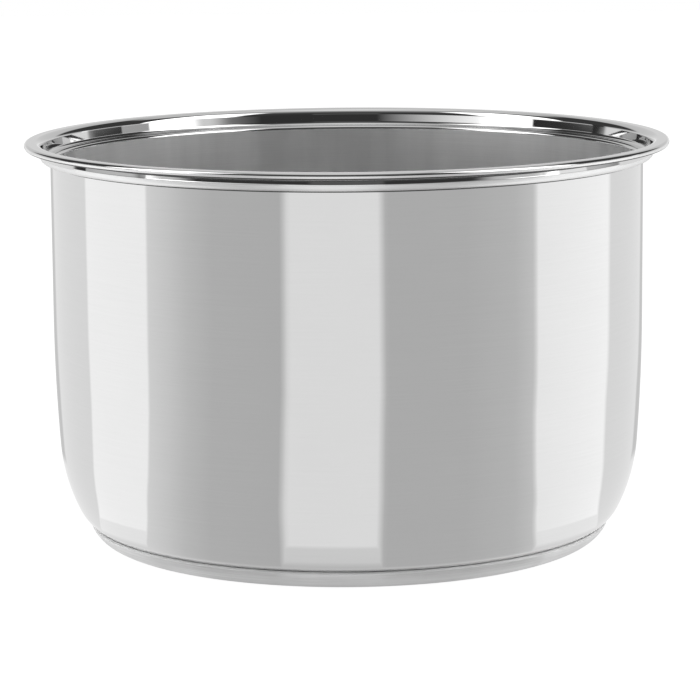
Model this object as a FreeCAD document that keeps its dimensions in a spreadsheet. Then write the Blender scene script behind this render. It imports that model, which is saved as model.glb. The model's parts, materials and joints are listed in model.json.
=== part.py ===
import FreeCAD, Part
import math
import os

import Sketcher

# An open stainless pot with a stepped rim, a rolled lip and a capsule base. It stands on z = 0 with its axis along Z.
# The sheet pieces are drawn as the line of their upper face, thickened downwards and turned about the axis.

# Driving sizes in millimetres and degrees
SIZES = {
    # Drawn shell: radii of the lower corner are those of the inside face, bend radii those of the tight side
    "inner_diameter": 220.0,
    "overall_height": 151.5,
    "sheet_thickness": 0.8,
    "heel_radius": 16.0,
    "corner_radius": 64.0,
    "corner_angle": 22.0,
    "draft_radius": 690.0,
    "draft_angle": 4.0,
    "step_width": 4.0,
    "step_angle": 80.0,
    "step_bend_radius": 0.5,
    "ledge_radius": 1.5,
    "neck_lean": 10.0,
    "neck_length": 1.4,
    "lip_bend_radius": 1.9,
    "lip_width": 6.5,
    "curl_bend_radius": 0.4,
    "curl_angle": 215.0,
    # Capsule base
    "cap_thickness": 0.5,
    "cap_corner_radius": 10.2,
    "cap_lap": 3.0,
    "seam_gap": 0.35,
    "core_thickness": 3.5,
    "core_clearance": 0.4,
    "core_setback": 3.0,
    "braze_thickness": 0.1,
}

# Heights of the faces in the base, from the floor up
CAP_FLOOR = "Sizes.cap_thickness"
CORE_BOTTOM = f"{CAP_FLOOR} + Sizes.braze_thickness"
CORE_TOP = f"{CORE_BOTTOM} + Sizes.core_thickness"
SHELL_UNDERSIDE = f"{CORE_TOP} + Sizes.braze_thickness"
SHELL_FLOOR = f"{SHELL_UNDERSIDE} + Sizes.sheet_thickness"

# Radii that several pieces share
CURL_RADIUS = "(Sizes.curl_bend_radius + Sizes.sheet_thickness)"
SHELL_FLAT = "ShellPath.Constraints.flat_radius / 1 mm"
CAP_FLAT = "CapPath.Constraints.flat_radius / 1 mm"
CAP_EDGE = "CapPath.Constraints.edge_radius / 1 mm"

# First guesses for a sketch, as shares of the pot's radius and height, which the constraints then move
FLOOR_GUESS = 0.8
WALL_GUESS = 0.4
FLANK_GUESS = 45.0

RIGHT_ANGLE = 90.0
FULL_TURN = 360.0
ORIGIN = FreeCAD.Vector(0, 0, 0)
AXIS_Z = FreeCAD.Vector(0, 0, 1)
UPRIGHT = FreeCAD.Rotation(FreeCAD.Vector(1, 0, 0), RIGHT_ANGLE)

# Point and axis numbers in a sketch, whose root is the start of its horizontal axis
START, END, CENTRE = range(1, 4)
VERTICAL_AXIS, HORIZONTAL_AXIS = range(-2, 0)
ROOT = (HORIZONTAL_AXIS, START)


def make_sheet(doc):
    sheet = doc.addObject("Spreadsheet::Sheet", "Sizes")
    for row, (alias, value) in enumerate(SIZES.items(), start=1):
        sheet.set(f"A{row}", alias)
        sheet.set(f"B{row}", str(value))
        sheet.setAlias(f"B{row}", alias)
    doc.recompute()
    return sheet


def free_sketch(doc, name):
    sketch = doc.addObject("Sketcher::SketchObject", name)
    sketch.Placement = FreeCAD.Placement(ORIGIN, UPRIGHT)
    return sketch


def body_sketch(body, name):
    sketch = body.newObject("Sketcher::SketchObject", name)
    plane = next(item for item in body.Origin.OriginFeatures if item.Role == "XZ_Plane")
    sketch.AttachmentSupport = [(plane, "")]
    sketch.MapMode = "FlatFace"
    return sketch


class Outline:
    """A chain of lines and arcs in a sketch, each tangent to the one before unless a corner is turned."""

    def __init__(self, sketch, height):
        self.sketch = sketch
        self.point = FreeCAD.Vector(0, height, 0)
        self.heading = 0.0
        self.last = None
        self.link = "Tangent"

    def turn_to(self, heading):
        self.heading = math.radians(heading)
        self.link = "Coincident"

    def join(self, index, near, far):
        if self.last:
            self.fix(self.link, *self.last, index, near)
        self.last = (index, far)
        self.link = "Tangent"
        return index

    def line(self, length):
        start = self.point
        along = FreeCAD.Vector(math.cos(self.heading), math.sin(self.heading), 0)
        self.point = start + along * length
        return self.join(self.sketch.addGeometry(Part.LineSegment(start, self.point), False), START, END)

    def arc(self, radius, turn):
        """A positive turn bends to the left of the way the chain runs, a negative one to the right."""
        left = FreeCAD.Vector(-math.sin(self.heading), math.cos(self.heading), 0)
        to_centre = left * math.copysign(radius, turn)
        centre = self.point + to_centre
        swing = math.radians(turn)
        begin = math.atan2(-to_centre.y, -to_centre.x)
        finish = begin + swing
        circle = Part.Circle(centre, AXIS_Z, radius)
        curve = Part.ArcOfCircle(circle, min(begin, finish), max(begin, finish))
        self.point = centre + FreeCAD.Vector(math.cos(finish), math.sin(finish), 0) * radius
        self.heading += swing
        near, far = (START, END) if turn > 0 else (END, START)
        return self.join(self.sketch.addGeometry(curve, False), near, far)

    def fix(self, kind, *where):
        return self.sketch.addConstraint(Sketcher.Constraint(kind, *where))

    def bind(self, name, formula, kind, *where):
        """A dimension that follows the sheet."""
        value = self.sketch.evalExpression(formula)
        index = self.fix(kind, *where, math.radians(value) if kind == "Angle" else value)
        self.sketch.renameConstraint(index, name)
        self.sketch.setExpression(f"Constraints.{name}", formula)

    def measure(self, name, *where):
        """The distance of a point from the axis, as a reference dimension for other pieces to read."""
        index = self.fix("DistanceX", *ROOT, *where, self.sketch.getPoint(*where).x)
        self.sketch.setDriving(index, False)
        self.sketch.renameConstraint(index, name)


def shell_outline(doc, size):
    """The inside face of the pot, from the centre of its floor to the end of the rolled lip."""
    thickness = size("sheet_thickness")
    heel_angle = RIGHT_ANGLE - size("corner_angle") - size("draft_angle")
    path = Outline(free_sketch(doc, "ShellPath"), size("core_thickness"))

    floor = path.line(size("inner_diameter") / 2 * FLOOR_GUESS)
    heel = path.arc(size("heel_radius"), heel_angle)
    corner = path.arc(size("corner_radius"), size("corner_angle"))
    draft = path.arc(size("draft_radius"), size("draft_angle"))
    wall = path.line(size("overall_height") * WALL_GUESS)
    step_bend = path.arc(size("step_bend_radius") + thickness, -size("step_angle"))
    path.line(size("step_bend_radius"))
    ledge = path.arc(size("ledge_radius"), size("step_angle") + size("neck_lean"))
    neck = path.line(size("neck_length"))
    lip_bend = path.arc(size("lip_bend_radius") + thickness, -RIGHT_ANGLE - size("neck_lean"))
    flange = path.line(size("lip_width") / 2)
    curl = path.arc(size("curl_bend_radius") + thickness, -size("curl_angle"))

    path.fix("PointOnObject", floor, START, VERTICAL_AXIS)
    path.fix("Horizontal", floor)
    path.fix("Vertical", wall)
    path.fix("Horizontal", flange)
    path.bind("floor_height", SHELL_FLOOR, "DistanceY", *ROOT, floor, START)
    path.bind("heel_radius", "Sizes.heel_radius", "Radius", heel)
    path.bind("corner_radius", "Sizes.corner_radius", "Radius", corner)
    path.bind("corner_angle", "Sizes.corner_angle", "Angle", corner)
    path.bind("draft_radius", "Sizes.draft_radius", "Radius", draft)
    path.bind("draft_angle", "Sizes.draft_angle", "Angle", draft)
    path.bind("wall_radius", "Sizes.inner_diameter / 2", "DistanceX", *ROOT, wall, START)
    path.bind("step_radius", "Sizes.step_bend_radius + Sizes.sheet_thickness", "Radius", step_bend)
    path.bind("step_angle", "Sizes.step_angle", "Angle", step_bend)
    path.bind("ledge_radius", "Sizes.ledge_radius", "Radius", ledge)
    path.bind("ledge_turn", "Sizes.step_angle + Sizes.neck_lean", "Angle", ledge)
    path.bind("step_reach", "Sizes.step_width - Sizes.ledge_radius", "DistanceX", wall, END, ledge, CENTRE)
    path.bind("neck_length", "Sizes.neck_length", "Distance", neck)
    path.bind("lip_radius", "Sizes.lip_bend_radius + Sizes.sheet_thickness", "Radius", lip_bend)
    path.bind("lip_height", "Sizes.overall_height", "DistanceY", *ROOT, flange, START)
    path.bind("curl_radius", CURL_RADIUS, "Radius", curl)
    path.bind("curl_angle", "Sizes.curl_angle", "Angle", curl)
    path.bind("curl_reach", f"Sizes.step_width + Sizes.lip_width - {CURL_RADIUS}",
              "DistanceX", wall, END, curl, CENTRE)
    path.measure("flat_radius", heel, CENTRE)
    return path.sketch


def cap_outline(doc, size):
    """The inside face of the cap: flat floor and one round flank that ends just short of the shell's heel."""
    path = Outline(free_sketch(doc, "CapPath"), size("cap_thickness"))
    floor = path.line(size("inner_diameter") / 2 * FLOOR_GUESS)
    flank = path.arc(size("cap_corner_radius"), FLANK_GUESS)
    heel_circle = Part.Circle(FreeCAD.Vector(path.point.x, size("heel_radius"), 0), AXIS_Z, size("heel_radius"))
    seat = path.sketch.addGeometry(heel_circle, True)

    path.fix("PointOnObject", floor, START, VERTICAL_AXIS)
    path.fix("Horizontal", floor)
    path.bind("floor_height", CAP_FLOOR, "DistanceY", *ROOT, floor, START)
    path.bind("flank_radius", "Sizes.cap_corner_radius", "Radius", flank)
    path.bind("seat_x", SHELL_FLAT, "DistanceX", *ROOT, seat, CENTRE)
    path.bind("seat_z", f"{SHELL_FLOOR} + Sizes.heel_radius", "DistanceY", *ROOT, seat, CENTRE)
    path.bind("seat_radius", "Sizes.heel_radius + Sizes.sheet_thickness + Sizes.seam_gap", "Radius", seat)
    path.bind("edge_height", f"{SHELL_UNDERSIDE} + Sizes.cap_lap", "DistanceY", *ROOT, flank, END)
    path.fix("PointOnObject", flank, END, seat)
    path.measure("flat_radius", flank, CENTRE)
    path.measure("edge_radius", flank, END)
    return path.sketch


def turned_sheet(doc, label, outline, thickness):
    """Sheet metal below an outline, turned about the axis of the pot."""
    section = doc.addObject("Part::Offset2D", f"{label}_section")
    section.Source = outline
    section.Mode = "Skin"
    section.Fill = True
    section.setExpression("Value", f"-Sizes.{thickness}")
    piece = doc.addObject("Part::Revolution", label)
    piece.Source = section
    piece.Base = ORIGIN
    piece.Axis = AXIS_Z
    piece.Angle = FULL_TURN
    piece.Solid = True
    return piece


def core_disc(doc, size):
    """The aluminium disc. Its edge follows the cap's flank below and the shell's heel above, a clearance away."""
    body = doc.addObject("PartDesign::Body", "core_disc")
    profile = Outline(body_sketch(body, "CoreProfile"), size("cap_thickness"))
    bottom = profile.line(size("inner_diameter") / 2 * FLOOR_GUESS)
    lower_arc = profile.arc(size("cap_corner_radius"), FLANK_GUESS)
    profile.turn_to(RIGHT_ANGLE)
    edge = profile.line(size("core_thickness") / 2)
    profile.turn_to(FULL_TURN / 2 + FLANK_GUESS / 2)
    upper_arc = profile.arc(size("heel_radius"), -FLANK_GUESS / 2)
    top = profile.line(profile.point.x)
    profile.turn_to(-RIGHT_ANGLE)
    axis = profile.line(size("core_thickness"))

    profile.fix("Coincident", axis, END, bottom, START)
    profile.fix("PointOnObject", bottom, START, VERTICAL_AXIS)
    profile.fix("PointOnObject", top, END, VERTICAL_AXIS)
    profile.fix("Horizontal", bottom)
    profile.fix("Vertical", edge)
    profile.fix("Horizontal", top)
    profile.bind("bottom", CORE_BOTTOM, "DistanceY", *ROOT, bottom, START)
    profile.bind("top", CORE_TOP, "DistanceY", *ROOT, top, END)
    profile.bind("lower_radius", "Sizes.cap_corner_radius - Sizes.braze_thickness", "Radius", lower_arc)
    profile.bind("lower_x", f"{CAP_FLAT} - Sizes.core_clearance", "DistanceX", *ROOT, lower_arc, CENTRE)
    profile.bind("upper_radius", "Sizes.heel_radius + Sizes.sheet_thickness + Sizes.braze_thickness",
                 "Radius", upper_arc)
    profile.bind("upper_x", f"{SHELL_FLAT} + Sizes.core_clearance", "DistanceX", *ROOT, upper_arc, CENTRE)
    profile.bind("edge_x", f"{CAP_EDGE} - Sizes.core_setback", "DistanceX", *ROOT, edge, START)

    turned = body.newObject("PartDesign::Revolution", "CoreTurned")
    turned.Profile = profile.sketch
    turned.ReferenceAxis = (profile.sketch, ["V_Axis"])
    turned.Angle = FULL_TURN
    return body


def braze_layer(doc, label, radius, height):
    layer = doc.addObject("Part::Cylinder", label)
    layer.setExpression("Radius", radius)
    layer.setExpression("Height", "Sizes.braze_thickness")
    layer.setExpression("Placement.Base.z", height)
    return layer


def check(doc, pieces):
    for item in doc.Objects:
        if "Invalid" in item.State or "Error" in item.State:
            raise RuntimeError(f"{item.Label} failed: {item.State}")
        if item.TypeId == "Sketcher::SketchObject" and not item.FullyConstrained:
            raise RuntimeError(f"{item.Label} is not fully constrained")
    for piece in pieces:
        if piece.Shape.isNull() or not piece.Shape.isValid() or len(piece.Shape.Solids) != 1:
            raise RuntimeError(f"{piece.Label} is not one valid solid")


def main():
    doc = FreeCAD.newDocument("SoupPot")
    size = make_sheet(doc).get
    shell_path = shell_outline(doc, size)
    doc.recompute()
    cap_path = cap_outline(doc, size)
    doc.recompute()
    pieces = [
        turned_sheet(doc, "pot_shell", shell_path, "sheet_thickness"),
        turned_sheet(doc, "base_cap", cap_path, "cap_thickness"),
        core_disc(doc, size),
        braze_layer(doc, "upper_braze_layer", SHELL_FLAT, CORE_TOP),
        braze_layer(doc, "lower_braze_layer", f"{CAP_FLAT} - Sizes.core_clearance", CAP_FLOOR),
    ]
    doc.recompute()
    check(doc, pieces)
    os.makedirs("parts", exist_ok=True)
    for piece in pieces:
        piece.Shape.exportStep(f"parts/{piece.Label}.step")
        box = piece.Shape.BoundBox
        print(f"{piece.Label}: {piece.Shape.Volume:.1f} mm3, z {box.ZMin:.2f} to {box.ZMax:.2f}")


main()
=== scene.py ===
import json
import math
from collections import namedtuple

import bpy
from mathutils import Euler, Matrix, Vector


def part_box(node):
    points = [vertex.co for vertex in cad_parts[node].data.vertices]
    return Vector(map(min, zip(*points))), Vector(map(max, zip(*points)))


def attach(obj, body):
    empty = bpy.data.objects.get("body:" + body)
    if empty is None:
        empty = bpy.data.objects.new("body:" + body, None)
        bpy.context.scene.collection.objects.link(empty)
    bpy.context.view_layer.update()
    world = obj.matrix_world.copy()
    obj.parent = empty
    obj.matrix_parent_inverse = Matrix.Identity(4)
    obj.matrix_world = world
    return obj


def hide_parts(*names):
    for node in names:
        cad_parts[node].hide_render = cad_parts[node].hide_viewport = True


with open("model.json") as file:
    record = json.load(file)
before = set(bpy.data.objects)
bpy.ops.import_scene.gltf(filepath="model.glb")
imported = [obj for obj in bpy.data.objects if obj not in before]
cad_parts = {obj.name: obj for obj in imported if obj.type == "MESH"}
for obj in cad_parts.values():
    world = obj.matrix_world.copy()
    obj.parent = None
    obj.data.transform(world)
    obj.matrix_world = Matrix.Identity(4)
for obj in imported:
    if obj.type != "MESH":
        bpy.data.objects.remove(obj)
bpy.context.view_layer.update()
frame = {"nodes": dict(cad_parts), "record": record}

# An open, mirror-polished pot with a satin inside and a brushed capsule base, on a white table in a studio.
# Lengths are in metres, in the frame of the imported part: the pot stands on z = 0 with its axis along Z.
# The studio's azimuths and elevations are in degrees. Azimuth 0 is towards the camera, positive to its right.

MM = 0.001

# Sizes that the frame gives
MOUNTS = {mount["name"]: mount for mount in frame["record"]["mounts"]}
SHELL_LOW, SHELL_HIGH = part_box("pot_shell")
CAP_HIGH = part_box("base_cap")[1]
WALL_OUTSIDE = MOUNTS["well_wall"]["dims"]["r_mm"] * MM
WALL_INSIDE = MOUNTS["basket_bore"]["dims"]["r_mm"] * MM
SHEET = WALL_OUTSIDE - WALL_INSIDE
RIM_RADIUS = min(SHELL_HIGH.x, SHELL_HIGH.y, -SHELL_LOW.x, -SHELL_LOW.y)
FLOOR_HEIGHT = SHELL_LOW.z + SHEET
CAP_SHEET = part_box("lower_braze_layer")[0].z

# Bends of the drawn sheet, as the solid has them
HEEL_RADIUS = 16.0 * MM
CORNER_RADIUS = 64.0 * MM
CORNER_ANGLE = 22.0
DRAFT_RADIUS = 690.0 * MM
DRAFT_ANGLE = 4.0
STEP_WIDTH = 4.0 * MM
STEP_ANGLE = 80.0
STEP_BEND_RADIUS = 0.5 * MM
LEDGE_RADIUS = 1.5 * MM
NECK_LEAN = 10.0
NECK_LENGTH = 1.4 * MM
LIP_BEND_RADIUS = 1.9 * MM
CURL_RADIUS = 0.4 * MM + SHEET
CURL_ANGLE = 215.0
CAP_CORNER_RADIUS = 10.2 * MM

# Forms that only the visual model has: the flared inside of the neck and the bead on the base's seam
NECK_FLARE = 8.0
NECK_SET_IN = 0.5 * MM
SEAM_BEAD = 0.33 * MM

# Fineness of the turned meshes
TURN_SEGMENTS = 256
ARC_STEP = math.radians(6.0)
ARC_SAG = 0.008 * MM
END_ROWS = 12
FLAT_ROWS = 6
WALL_ROWS = 10
ON_AXIS = 1e-9

# Finishes of the rim, told apart by the height of a face's unit normal; some are painted shade and painted
# highlight
UNDER_LIP_NORMAL = -0.55
PAINTED_HIGHLIGHT_NORMAL = 0.05
CREASE_START = 0.01 * MM

# Grain of the steel: lines round the axis, clouds, and upright streaks of a wiped inside
GRAIN_ROUND = 4.0
GRAIN_RANGE = (0.25, 0.75)
GRAIN_BUMP = 0.5
CLOUD_SCALE = 45.0
CLOUD_DETAIL = 4.0
CLOUD_ROUGHNESS = 0.6
CLOUD_RANGE = (0.3, 0.7)
STREAK_SCALE = (70.0, 70.0, 9.0)
STREAK_ROUGHNESS = 0.6
STREAK_RANGE = (0.35, 0.65)
STREAK_HEIGHT = (FLOOR_HEIGHT + HEEL_RADIUS / 2, FLOOR_HEIGHT + 3 * HEEL_RADIUS)

# The photograph's camera: square picture, fitted to the outline of the pot
PICTURE_PIXELS = 700
SENSOR_WIDTH = 36.0
FOCAL_PIXELS = 3346.0
CAMERA_PLACE = Vector((0.0, -1.250, 0.2796))
CAMERA_PITCH = 9.491
CAMERA_ROLL = 0.447
AXIS_SHIFT_PIXELS = -1.8

# Pale and grey panels round the pot up to the horizon: azimuth and brightness
STUDIO_BANDS = (
    (-180.0, 0.62), (-164.0, 0.62),
    (-160.0, 0.90), (-120.5, 0.90),
    (-119.5, 1.16), (-82.9, 1.14),
    (-81.7, 0.845), (-72.0, 0.755), (-63.0, 0.65), (-52.0, 0.575), (-25.0, 0.555),
    (-22.0, 0.95), (11.3, 0.95),
    (14.3, 0.555), (45.0, 0.56), (66.0, 0.615), (75.5, 0.71),
    (76.7, 1.08), (120.5, 1.20),
    (121.5, 0.90), (160.0, 0.90),
    (164.0, 0.62), (180.0, 0.62),
)
RAMP_SCALE = 2.0
HORIZON_TOP = 2.5
HORIZON_BLUR = 1.0
BACKDROP_EDGE = 120.5
BACKDROP_BLUR = 1.5
BACKDROP_IN_METAL = 0.90

# The room above the horizon, in front of the pot and behind it: share of the way up and brightness
ROOM_IN_FRONT = ((0.0, 0.03), (0.46, 0.06), (0.68, 0.25), (1.0, 1.0))
ROOM_BEHIND = ((0.0, 0.80), (0.10, 0.66), (0.5, 0.62), (1.0, 1.0))
WINDOW_WIDTH = 13.5
WINDOW_BLUR = 1.5
WINDOW_HEIGHT = (11.5, 25.0)
WINDOW_LEVEL = 0.07
WING_WIDTH = (100.0, 150.0)
WING_HEIGHT = (10.0, 48.0)
WING_BLUR = 4.0
WING_LEVEL = 0.05

# Lights on the two sides of the camera: a softbox, a bright strip under it with a glow towards the camera,
# and a reflector with a near and a far sheet. Each has its azimuths, counted away from the camera.
Side = namedtuple("Side", "sign softbox strip glow glow_level near_sheet far_sheet")
STUDIO_SIDES = (
    Side(sign=-1.0, softbox=(56.0, 95.5), strip=(56.0, 77.5), glow=(12.0, 79.0), glow_level=1.30,
         near_sheet=(62.0, 82.5), far_sheet=(82.5, 112.0)),
    Side(sign=1.0, softbox=(46.0, 90.0), strip=(62.0, 84.0), glow=(34.0, 99.0), glow_level=0.40,
         near_sheet=(52.0, 77.0), far_sheet=(77.0, 125.0)),
)
SOFTBOX_HEIGHT = (14.0, 60.0)
SOFTBOX_LEVEL = 2.2
SOFTBOX_BLUR = 4.0
STRIP_HEIGHT = (3.0, 8.3)
GLOW_HEIGHT = (3.0, 11.6)
GLOW_TILT = (16.0, 0.045)
GLOW_BLUR = (1.0, 0.4)
NEAR_SHEET_HEIGHT = (8.3, 14.0)
NEAR_SHEET_BLUR = 6.0
FAR_SHEET_HEIGHT = (7.6, 14.0)
FAR_SHEET_TILT = (82.5, 0.12)
FAR_SHEET_BLUR = (4.0, 0.5)
REFLECTOR_LEVEL = 0.6

# The table, and the table as metal shows it: the same panels, mapped so that they stand upright in the wall.
# Distances are from the pot's axis. Front and side values meet between the two azimuths of MIRROR_FRONT.
TABLE_HALF_WIDTH = 3.0
TABLE_GAP = 0.05 * MM
TABLE_GLOW = 0.92
TABLE_PAINT = 0.22
MIRROR_FRONT = (15.0, 55.0)
MIRROR_RADIUS = 0.092
MIRROR_SIDE_DISTANCE = (0.15, 0.35)
MIRROR_SIDE_RADIUS = (0.088, 0.098)
MIRROR_STRETCH = (1.70, 1.56)
STRETCH_BLEND = 0.3
SWING_DISTANCE = (0.115, 0.45)
MIRROR_SWING = 1.4
LAST_AZIMUTH_DISTANCE = (0.15, 0.30)
LAST_AZIMUTH = (155.0, 180.0)

# The brightest level that metal shows at a distance: dimmer close to the foot as a painted shadow of the pot,
# and brighter at the sides
FOOT_LIMITS = ((0.090, 0.55), (0.095, 0.66), (0.099, 0.64), (0.104, 0.78), (0.115, 0.80), (0.122, 1.20))
FOOT_SHADE = (0.0968, 0.0985)
SIDE_AZIMUTH = (40.0, 80.0)
SIDE_GAIN = 1.3


class Graph:
    """Short ways to add nodes to a node tree and link them."""

    def __init__(self, tree):
        self.tree = tree
        tree.nodes.clear()

    def add(self, kind, inputs=None, **settings):
        node = self.tree.nodes.new(kind)
        for name, value in settings.items():
            setattr(node, name, value)
        for name, value in (inputs or {}).items():
            self.put(node.inputs[name], value)
        return node

    def put(self, socket, value):
        if isinstance(value, bpy.types.NodeSocket):
            self.tree.links.new(value, socket)
        else:
            socket.default_value = value

    def math(self, operation, *values):
        node = self.add("ShaderNodeMath", operation=operation)
        for socket, value in zip(node.inputs, values):
            self.put(socket, value)
        return node.outputs[0]

    def range(self, value, low, high, to_low=0.0, to_high=1.0, smooth=False):
        """The value carried from low..high to to_low..to_high, and held at the ends."""
        kind = "SMOOTHSTEP" if smooth else "LINEAR"
        node = self.add("ShaderNodeMapRange", interpolation_type=kind)
        for socket, number in zip(node.inputs, (value, low, high, to_low, to_high)):
            self.put(socket, number)
        return node.outputs[0]

    def mix(self, share, low, high):
        """Number between low and high."""
        node = self.add("ShaderNodeMix", data_type="FLOAT")
        for socket, value in zip(node.inputs[:1] + node.inputs[2:4], (share, low, high)):
            self.put(socket, value)
        return node.outputs[0]

    def grey(self, level):
        node = self.add("ShaderNodeCombineColor")
        for socket in node.inputs:
            self.put(socket, level)
        return node.outputs[0]

    def ramp(self, value, stops):
        """Level at a value from 0 to 1, straight between stops of (value, level up to RAMP_SCALE)."""
        node = self.add("ShaderNodeValToRGB")
        self.put(node.inputs[0], value)
        elements = node.color_ramp.elements
        while len(elements) < len(stops):
            elements.new(1.0)
        for element, (place, level) in zip(elements, stops):
            share = level / RAMP_SCALE
            element.position = place
            element.color = (share, share, share, 1.0)
        return self.math("MULTIPLY", node.outputs[0], RAMP_SCALE)

    def noise(self, vector, scale, detail=3.0, roughness=0.5):
        inputs = {"Vector": vector, "Scale": scale, "Detail": detail, "Roughness": roughness}
        return self.add("ShaderNodeTexNoise", inputs).outputs[0]

    def place(self):
        """The object's own coordinates, and the same split into three."""
        place = self.add("ShaderNodeTexCoord").outputs["Object"]
        return place, self.add("ShaderNodeSeparateXYZ", {0: place}).outputs


class Outline:
    """Stations (radius, height, heading) along a chain of lines and arcs, each tangent to the one before."""

    def __init__(self, radius, height, heading=0.0):
        self.stations = [(radius, height, math.radians(heading))]

    def line(self, length, rows=1):
        radius, height, heading = self.stations[-1]
        for row in range(1, rows + 1):
            run = length * row / rows
            across = run * math.cos(heading)
            up = run * math.sin(heading)
            self.stations.append((radius + across, height + up, heading))
        return self

    def arc(self, bend, turn):
        """A positive turn bends to the left of the way the chain runs."""
        radius, height, heading = self.stations[-1]
        side = math.copysign(bend, turn)
        step = min(ARC_STEP, 2.0 * math.acos(1.0 - ARC_SAG / bend))
        rows = math.ceil(abs(math.radians(turn)) / step)
        for row in range(1, rows + 1):
            now = heading + math.radians(turn) * row / rows
            across = side * (math.sin(now) - math.sin(heading))
            up = side * (math.cos(heading) - math.cos(now))
            self.stations.append((radius + across, height + up, now))
        return self

    def end(self):
        return self.stations[-1][:2]


def shell_outline(lean, set_in=0.0):
    """The inside face of the pot from the centre of its floor to the end of the curl, and the number of the
    station where its step starts. lean is how far the neck under the lip leans to the axis, and set_in how much
    nearer to the axis it stands."""
    heel_angle = 90.0 - CORNER_ANGLE - DRAFT_ANGLE
    corner = Outline(0.0, 0.0).arc(HEEL_RADIUS, heel_angle).arc(CORNER_RADIUS, CORNER_ANGLE)
    corner_width, corner_height = corner.arc(DRAFT_RADIUS, DRAFT_ANGLE).end()
    bends = (STEP_BEND_RADIUS + SHEET + LEDGE_RADIUS) * (1.0 - math.cos(math.radians(STEP_ANGLE)))
    slope = (STEP_WIDTH - bends) / math.sin(math.radians(STEP_ANGLE))

    def rim(path, tilt, inward, neck):
        path.arc(STEP_BEND_RADIUS + SHEET, -STEP_ANGLE).line(slope - inward)
        path.arc(LEDGE_RADIUS, STEP_ANGLE + tilt).line(neck)
        return path.arc(LIP_BEND_RADIUS + SHEET, -90.0 - tilt)

    rim_height = rim(Outline(0.0, 0.0, 90.0), NECK_LEAN, 0.0, NECK_LENGTH).end()[1]
    neckless_width, neckless_height = rim(Outline(0.0, 0.0, 90.0), lean, set_in, 0.0).end()
    neck = (rim_height - neckless_height) / math.cos(math.radians(lean))
    rim_width = neckless_width - neck * math.sin(math.radians(lean))
    path = Outline(0.0, FLOOR_HEIGHT).line(WALL_INSIDE - corner_width, FLAT_ROWS)
    path.arc(HEEL_RADIUS, heel_angle).arc(CORNER_RADIUS, CORNER_ANGLE).arc(DRAFT_RADIUS, DRAFT_ANGLE)
    path.line(SHELL_HIGH.z - FLOOR_HEIGHT - corner_height - rim_height, WALL_ROWS)
    step = len(path.stations) - 1
    end_turn = math.degrees(SHEET / 2 / CURL_RADIUS)
    rim(path, lean, set_in, neck).line(RIM_RADIUS - CURL_RADIUS - WALL_INSIDE - rim_width)
    path.arc(CURL_RADIUS, end_turn - CURL_ANGLE)
    return path.stations, step


def cap_outline():
    """The inside face of the cap: flat floor and one round flank up to its edge."""
    flank = math.acos(1.0 - (CAP_HIGH.z - CAP_SHEET) / CAP_CORNER_RADIUS)
    flat = CAP_HIGH.x - (CAP_CORNER_RADIUS + CAP_SHEET) * math.sin(flank)
    end_turn = (CAP_SHEET + SEAM_BEAD) / CAP_CORNER_RADIUS
    path = Outline(0.0, CAP_SHEET).line(flat, FLAT_ROWS)
    return path.arc(CAP_CORNER_RADIUS, math.degrees(flank - end_turn)).stations


def sheet_edges(upper_stations, lower_stations, thickness, bead=0.0):
    """Edges round the cut through a sheet: along its upper face, over its end and back along its lower face.
    The end is round, or with a bead is rounded on the lower side only and that much wider than the sheet.
    Each edge has its two (radius, height) ends and the two normals there."""
    def face(stations, depth):
        points = []
        for radius, height, heading in stations:
            normal = Vector((-math.sin(heading), math.cos(heading)))
            points.append((Vector((radius, height)) - depth * normal, normal))
        return points

    upper = face(upper_stations, 0.0)
    lower = [(place, -normal) for place, normal in reversed(face(lower_stations, thickness))]
    heading = lower_stations[-1][2]
    ahead = Vector((math.cos(heading), math.sin(heading)))
    across = upper[-1][1]
    bend = thickness + bead if bead else thickness / 2
    centre = lower[0][0] + bend * across
    end = []
    for row in range(END_ROWS // 2 if bead else 0, END_ROWS):
        turn = math.pi * row / END_ROWS
        normal = math.cos(turn) * across + math.sin(turn) * ahead
        end.append((centre + bend * normal, normal))
    runs = [upper]
    if bead:
        ledge = upper[-1][0] + bead * across
        runs += [[(upper[-1][0], -ahead), (ledge, -ahead)], [(ledge, across), (end[0][0], across)]]
    runs.append(end + lower)
    return [pair for run in runs for pair in zip(run[:-1], run[1:])]


def turned_piece(name, edges, materials, finish):
    """A mesh turned about Z from profile edges, with the exact normals of the profile. finish gives the slot
    of an edge from its index and the edge."""
    turns = [math.tau * step / TURN_SEGMENTS for step in range(TURN_SEGMENTS)]
    profile = [edges[0][0][0]] + [far[0] for _, far in edges]
    vertices = []
    rings = []
    for place in profile:
        on_axis = place.x < ON_AXIS
        ring = turns[:1] if on_axis else turns
        first = len(vertices)
        vertices.extend((place.x * math.cos(turn), place.x * math.sin(turn), place.y) for turn in ring)
        rings.append([first + (0 if on_axis else step) for step in range(TURN_SEGMENTS)])

    faces = []
    normals = []
    slots = []
    for index, edge in enumerate(edges):
        (_, near), (_, far) = edge
        slot = finish(index, edge)
        for step in range(TURN_SEGMENTS):
            after = (step + 1) % TURN_SEGMENTS
            corners = (
                (rings[index][step], near, step),
                (rings[index + 1][step], far, step),
                (rings[index + 1][after], far, after),
                (rings[index][after], near, after),
            )
            face = []
            for vertex, normal, place in corners:
                if vertex not in face:
                    face.append(vertex)
                    turn = turns[place]
                    normals.append((normal.x * math.cos(turn), normal.x * math.sin(turn), normal.y))
            faces.append(face)
            slots.append(slot)

    mesh = bpy.data.meshes.new(name)
    mesh.from_pydata(vertices, [], faces)
    for material in materials:
        mesh.materials.append(material)
    mesh.polygons.foreach_set("material_index", slots)
    mesh.shade_smooth()
    mesh.normals_split_custom_set(normals)
    piece = bpy.data.objects.new(name, mesh)
    bpy.context.scene.collection.objects.link(piece)
    return piece


def new_material(name):
    material = bpy.data.materials.new(name)
    material.use_nodes = True
    return material, Graph(material.node_tree)


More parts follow.
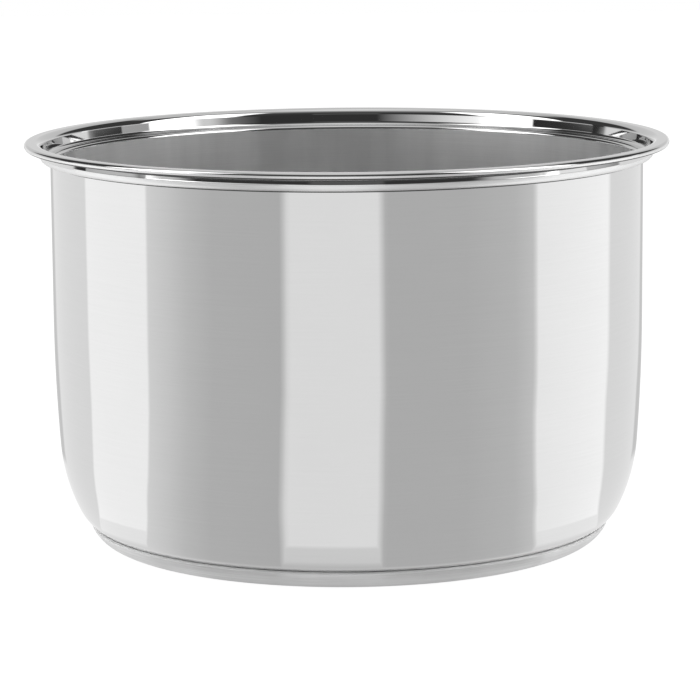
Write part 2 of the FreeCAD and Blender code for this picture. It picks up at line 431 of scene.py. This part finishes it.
def turned_grain(graph, line_spacing):
    """Noise drawn out round the axis, as turning, spinning and polishing leave it."""
    _, axes = graph.place()
    angle = graph.math("ARCTAN2", axes[1], axes[0])
    squares = graph.math("ADD", graph.math("POWER", axes[0], 2.0), graph.math("POWER", axes[1], 2.0))
    radius = graph.math("POWER", squares, 0.5)
    across = graph.math("DIVIDE", graph.math("ADD", radius, axes[2]), line_spacing)
    vector = graph.add("ShaderNodeCombineXYZ", {
        0: graph.math("MULTIPLY", graph.math("COSINE", angle), GRAIN_ROUND),
        1: graph.math("MULTIPLY", graph.math("SINE", angle), GRAIN_ROUND),
        2: across,
    }).outputs[0]
    return graph.noise(vector, 1.0)


def steel(name, colour, roughness, spread, line_spacing, line_height, anisotropy=0.0, smears=0.0):
    """Metal whose lines run round the axis. spread is how far roughness and shade stray along the lines, and
    smears how far they stray in upright streaks, which fade out towards the floor."""
    material, graph = new_material(name)
    lines = turned_grain(graph, line_spacing)
    place, axes = graph.place()
    clouds = graph.noise(place, CLOUD_SCALE, CLOUD_DETAIL, CLOUD_ROUGHNESS)
    upright = graph.add("ShaderNodeVectorMath", {0: place, 1: STREAK_SCALE}, operation="MULTIPLY")
    streaks = graph.noise(upright.outputs[0], 1.0, roughness=STREAK_ROUGHNESS)
    grain = graph.math("ADD", graph.range(lines, *GRAIN_RANGE, -spread, spread),
                       graph.range(clouds, *CLOUD_RANGE, -spread / 2, spread / 2))
    smear = graph.range(axes[2], *STREAK_HEIGHT, 0.0, smears)
    shade = graph.math("MULTIPLY_ADD", graph.range(streaks, *STREAK_RANGE, -1.0, 1.0), smear, grain)
    bump = graph.add("ShaderNodeBump", {"Height": lines, "Distance": line_height, "Strength": GRAIN_BUMP})
    tangent = graph.add("ShaderNodeTangent", direction_type="RADIAL", axis="Z")
    shader = graph.add("ShaderNodeBsdfPrincipled", {
        "Base Color": graph.grey(graph.math("MULTIPLY_ADD", shade, colour, colour)),
        "Metallic": 1.0,
        "Roughness": graph.math("MULTIPLY_ADD", shade, roughness, roughness),
        "Anisotropic": anisotropy,
        "Tangent": tangent.outputs[0],
        "Normal": bump.outputs[0],
    })
    graph.add("ShaderNodeOutputMaterial", {"Surface": shader.outputs[0]})
    return material


def record_level(slot):
    """The slot's grey in the record."""
    colour = next(item["base_color"] for item in frame["record"]["materials"] if item["slot"] == slot)
    return sum(colour) / len(colour)


def dress_core():
    """Finishes of the disc and the two braze films inside the base."""
    aluminium = steel("core_aluminium", record_level("core_aluminium"), roughness=0.42, spread=0.10,
                      line_spacing=0.6 * MM, line_height=0.02 * MM, anisotropy=0.4)
    braze = steel("braze_alloy", record_level("braze_alloy"), roughness=0.55, spread=0.18,
                  line_spacing=3.0 * MM, line_height=0.03 * MM)
    finishes = {"core_disc": aluminium, "upper_braze_layer": braze, "lower_braze_layer": braze}
    for node, finish in finishes.items():
        materials = frame["nodes"][node].data.materials
        materials.clear()
        materials.append(finish)


def make_pot():
    """The shell: polished, with a satin inside below the step, a rougher step and lip edge painted pale as a
    highlight, and rougher metal painted near-black as shade under the lip and in the crease where the step
    leaves the wall."""
    finishes = (
        steel("polished_steel", record_level("polished_steel"), roughness=0.035, spread=0.012,
              line_spacing=0.4 * MM, line_height=0.00002 * MM),
        steel("satin_inside", colour=0.83, roughness=0.46, spread=0.035,
              line_spacing=0.3 * MM, line_height=0.0015 * MM, anisotropy=0.6, smears=0.055),
        # Near-black colour: painted shade under the lip and in the crease, on a rougher finish
        steel("painted_shade_steel", colour=0.11, roughness=0.50, spread=0.10,
              line_spacing=0.5 * MM, line_height=0.004 * MM),
        # Pale colour: painted highlight on the faces of the step and lip edge that look down, on a rougher
        # finish
        steel("painted_highlight_steel", colour=0.92, roughness=0.40, spread=0.05,
              line_spacing=0.5 * MM, line_height=0.001 * MM),
    )
    polished, satin, painted_shade, painted_highlight = range(len(finishes))
    inside, step = shell_outline(-NECK_FLARE, NECK_SET_IN)
    outside = shell_outline(NECK_LEAN)[0]
    lip_start = WALL_OUTSIDE + STEP_WIDTH
    crease_start = WALL_OUTSIDE + CREASE_START
    crease_end = WALL_OUTSIDE + STEP_BEND_RADIUS
    corner_top = FLOOR_HEIGHT + CORNER_RADIUS

    def finish(index, edge):
        (near, near_normal), (far, far_normal) = edge
        if index < step:
            return satin
        if near.y < corner_top:
            return polished
        # Faces under the lip and in the crease take the painted shade
        under = (near_normal.y + far_normal.y) / 2 < UNDER_LIP_NORMAL
        if under and min(near.x, far.x) > lip_start:
            return painted_shade
        if crease_start < min(near.x, far.x) and max(near.x, far.x) < crease_end:
            return painted_shade
        # Faces that look down, out past the crease, take the painted highlight
        if near_normal.y < PAINTED_HIGHLIGHT_NORMAL and far.x > crease_end - CREASE_START:
            return painted_highlight
        return polished

    pot = turned_piece("pot_body", sheet_edges(inside, outside, SHEET), finishes, finish)
    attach(pot, "root")
    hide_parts("pot_shell")


def make_cap():
    """The brushed cup under the pot, with a rounded bead along its edge that is painted pale as a highlight."""
    finishes = (
        steel("satin_steel", colour=0.80, roughness=0.50, spread=0.12,
              line_spacing=0.3 * MM, line_height=0.004 * MM, anisotropy=0.3),
        # Pale colour: painted highlight on the seam bead, which lies in shade between cup and shell
        steel("painted_seam_highlight", colour=0.92, roughness=0.80, spread=0.10,
              line_spacing=0.5 * MM, line_height=0.004 * MM),
    )
    stations = cap_outline()
    bead = range(len(stations) - 1, len(stations) + END_ROWS // 2)
    edges = sheet_edges(stations, stations, CAP_SHEET, SEAM_BEAD)
    cap = turned_piece("base_cup", edges, finishes, lambda index, edge: int(index in bead))
    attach(cap, "root")
    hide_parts("base_cap")


def panel_level(graph, azimuth):
    """Brightness of the studio's panels at an azimuth."""
    stops = [(place / 360.0 + 0.5, level) for place, level in STUDIO_BANDS]
    return graph.ramp(graph.range(azimuth, -180.0, 180.0), stops)


def azimuth_of(graph, axes):
    return graph.math("DEGREES", graph.math("ARCTAN2", axes[0], graph.math("MULTIPLY", axes[1], -1.0)))


def camera_sees(graph):
    """The light path's outputs, and 1 for what the camera sees straight or through something clear."""
    light = graph.add("ShaderNodeLightPath").outputs
    return light, graph.math("MAXIMUM", light["Is Camera Ray"], light["Is Transmission Ray"])


def mirrored_azimuth(graph, azimuth, away):
    """The azimuth whose panel a place on the table shows, so that panels stand upright in the round wall."""
    aside = graph.range(graph.math("ABSOLUTE", azimuth), *MIRROR_FRONT)
    radius = graph.mix(aside, MIRROR_RADIUS, graph.range(away, *MIRROR_SIDE_DISTANCE, *MIRROR_SIDE_RADIUS))
    share = graph.math("DIVIDE", radius, graph.math("MULTIPLY", away, 2.0))
    mirrored = graph.math("DIVIDE", 1.0, graph.math("SUBTRACT", 1.0, share))
    stretch = graph.math("SMOOTH_MIN", mirrored, graph.mix(aside, *MIRROR_STRETCH), STRETCH_BLEND)
    swing = graph.range(away, *SWING_DISTANCE, MIRROR_SWING, 0.0)
    shown = graph.math("MULTIPLY_ADD", azimuth, stretch, swing)
    last = graph.range(away, *LAST_AZIMUTH_DISTANCE, *LAST_AZIMUTH)
    return graph.math("MINIMUM", graph.math("MAXIMUM", shown, graph.math("MULTIPLY", last, -1.0)), last)


def table_in_metal(graph):
    """Brightness of the table as metal shows it: the studio's panels, dimmed towards the foot of the pot as a
    painted shadow.
    """
    place, axes = graph.place()
    away = graph.add("ShaderNodeVectorMath", {0: place}, operation="LENGTH").outputs["Value"]
    azimuth = mirrored_azimuth(graph, azimuth_of(graph, axes), away)
    nearest, farthest = FOOT_LIMITS[0][0], FOOT_LIMITS[-1][0]
    stops = [((distance - nearest) / (farthest - nearest), level) for distance, level in FOOT_LIMITS]
    gain = graph.range(graph.math("ABSOLUTE", azimuth), *SIDE_AZIMUTH, 1.0, SIDE_GAIN)
    limit = graph.math("MULTIPLY", graph.ramp(graph.range(away, nearest, farthest), stops), gain)
    level = graph.math("MINIMUM", panel_level(graph, azimuth), limit)
    # Close to the foot only the limit is shown: the painted shadow of the pot
    return graph.mix(graph.range(away, *FOOT_SHADE), limit, level)


def make_table():
    """A white table top, which metal shows with the studio's panels in it."""
    half = TABLE_HALF_WIDTH
    corners = [(x, y, -TABLE_GAP) for x, y in ((-half, -half), (half, -half), (half, half), (-half, half))]
    mesh = bpy.data.meshes.new("table")
    mesh.from_pydata(corners, [], [(0, 1, 2, 3)])
    table = bpy.data.objects.new("table", mesh)
    bpy.context.scene.collection.objects.link(table)

    material, graph = new_material("white_table")
    light, seen = camera_sees(graph)
    glow = graph.add("ShaderNodeEmission", {"Strength": graph.math("MULTIPLY", seen, TABLE_GLOW)})
    paint = graph.add("ShaderNodeBsdfDiffuse", {"Color": (TABLE_PAINT, TABLE_PAINT, TABLE_PAINT, 1.0)})
    white = graph.add("ShaderNodeAddShader", {0: glow.outputs[0], 1: paint.outputs[0]})
    panels = graph.add("ShaderNodeEmission", {"Strength": table_in_metal(graph)})
    mixed = {0: light["Is Glossy Ray"], 1: white.outputs[0], 2: panels.outputs[0]}
    surface = graph.add("ShaderNodeMixShader", mixed)
    graph.add("ShaderNodeOutputMaterial", {"Surface": surface.outputs[0]})
    mesh.materials.append(material)


def patch(graph, azimuth, elevation, width, height, inner_blur, blur=1.0):
    """1 inside a patch of the studio's dome, between two azimuths and two elevations, with soft edges.
    inner_blur is the softness of the first azimuth."""
    (inner, outer), (low, high) = width, height
    sides = (
        graph.range(azimuth, inner - inner_blur, inner + inner_blur, smooth=True),
        graph.range(azimuth, outer + blur, outer - blur, smooth=True),
        graph.range(elevation, low - blur, low + blur, smooth=True),
        graph.range(elevation, high + blur, high - blur, smooth=True),
    )
    inside = sides[0]
    for side in sides[1:]:
        inside = graph.math("MULTIPLY", inside, side)
    return inside


def tilted(graph, azimuth, elevation, tilt):
    """Elevation that grows with azimuth, from a start on, for a patch that drops away from the camera."""
    start, slope = tilt
    return graph.math("MULTIPLY_ADD", graph.math("SUBTRACT", azimuth, start), slope, elevation)


def room_level(graph, azimuth, elevation, behind):
    """Brightness of the room over the horizon: dark in front with a faint window, pale behind, dark wings."""
    aside = graph.math("ABSOLUTE", azimuth)
    height = graph.range(elevation, 0.0, 90.0)
    window = patch(graph, azimuth, elevation, (-WINDOW_WIDTH, WINDOW_WIDTH), WINDOW_HEIGHT, WINDOW_BLUR)
    front = graph.math("MULTIPLY_ADD", window, WINDOW_LEVEL, graph.ramp(height, ROOM_IN_FRONT))
    room = graph.mix(behind, front, graph.ramp(height, ROOM_BEHIND))
    wings = patch(graph, aside, elevation, WING_WIDTH, WING_HEIGHT, WING_BLUR, WING_BLUR)
    return graph.mix(wings, room, WING_LEVEL)


def side_level(graph, azimuth, elevation, side):
    """Brightness that the lights on one side of the camera add to the room."""
    aside = graph.math("MULTIPLY", azimuth, side.sign)
    softbox = patch(graph, aside, elevation, side.softbox, SOFTBOX_HEIGHT, SOFTBOX_BLUR)
    strip = patch(graph, aside, elevation, side.strip, STRIP_HEIGHT, SOFTBOX_BLUR)
    boxes = graph.math("MULTIPLY", graph.math("ADD", softbox, strip), SOFTBOX_LEVEL)

    growth = graph.range(aside, side.glow[0], side.strip[0], 0.0, side.glow_level)
    glow_drop = tilted(graph, aside, elevation, GLOW_TILT)
    glow_patch = patch(graph, aside, glow_drop, side.glow, GLOW_HEIGHT, *GLOW_BLUR)
    glow = graph.math("MULTIPLY", growth, glow_patch)

    near_sheet = patch(graph, aside, elevation, side.near_sheet, NEAR_SHEET_HEIGHT, NEAR_SHEET_BLUR)
    sheet_drop = tilted(graph, aside, elevation, FAR_SHEET_TILT)
    far_sheet = patch(graph, aside, sheet_drop, side.far_sheet, FAR_SHEET_HEIGHT, *FAR_SHEET_BLUR)
    reflector = graph.math("MAXIMUM", near_sheet, far_sheet)
    return graph.math("MULTIPLY_ADD", reflector, REFLECTOR_LEVEL, graph.math("ADD", boxes, glow))


def make_studio():
    """Panels round the pot, a room with lights above them, and a white background."""
    world = bpy.data.worlds.new("studio")
    world.use_nodes = True
    bpy.context.scene.world = world
    graph = Graph(world.node_tree)
    direction = graph.add("ShaderNodeTexCoord").outputs["Generated"]
    axes = graph.add("ShaderNodeSeparateXYZ", {0: direction}).outputs
    azimuth = azimuth_of(graph, axes)
    elevation = graph.math("DEGREES", graph.math("ARCSINE", axes[2]))
    behind = graph.range(graph.math("ABSOLUTE", azimuth), BACKDROP_EDGE - BACKDROP_BLUR,
                         BACKDROP_EDGE + BACKDROP_BLUR, smooth=True)
    above = graph.range(elevation, HORIZON_TOP - HORIZON_BLUR, HORIZON_TOP + HORIZON_BLUR, smooth=True)

    room = room_level(graph, azimuth, elevation, behind)
    for side in STUDIO_SIDES:
        room = graph.math("ADD", room, side_level(graph, azimuth, elevation, side))
    studio = graph.mix(above, panel_level(graph, azimuth), room)

    light, seen = camera_sees(graph)
    backdrop = graph.math("MULTIPLY", behind, graph.math("SUBTRACT", 1.0, above))
    mirrored = graph.math("MULTIPLY", light["Is Glossy Ray"], backdrop)
    strength = graph.mix(seen, graph.mix(mirrored, studio, BACKDROP_IN_METAL), 1.0)
    background = graph.add("ShaderNodeBackground", {"Color": (1.0, 1.0, 1.0, 1.0), "Strength": strength})
    graph.add("ShaderNodeOutputWorld", {"Surface": background.outputs[0]})


def make_camera():
    data = bpy.data.cameras.new("camera")
    data.sensor_width = SENSOR_WIDTH
    data.lens = FOCAL_PIXELS / PICTURE_PIXELS * SENSOR_WIDTH
    data.shift_x = -AXIS_SHIFT_PIXELS / PICTURE_PIXELS
    camera = bpy.data.objects.new("camera", data)
    bpy.context.scene.collection.objects.link(camera)
    pitch = Euler((math.radians(90.0 - CAMERA_PITCH), 0.0, 0.0)).to_matrix()
    roll = Matrix.Rotation(math.radians(-CAMERA_ROLL), 3, "Z")
    camera.matrix_world = Matrix.Translation(CAMERA_PLACE) @ (pitch @ roll).to_4x4()
    bpy.context.scene.camera = camera


bpy.context.scene.view_settings.view_transform = "Standard"
make_camera()
make_studio()
make_table()
make_pot()
make_cap()
dress_core()
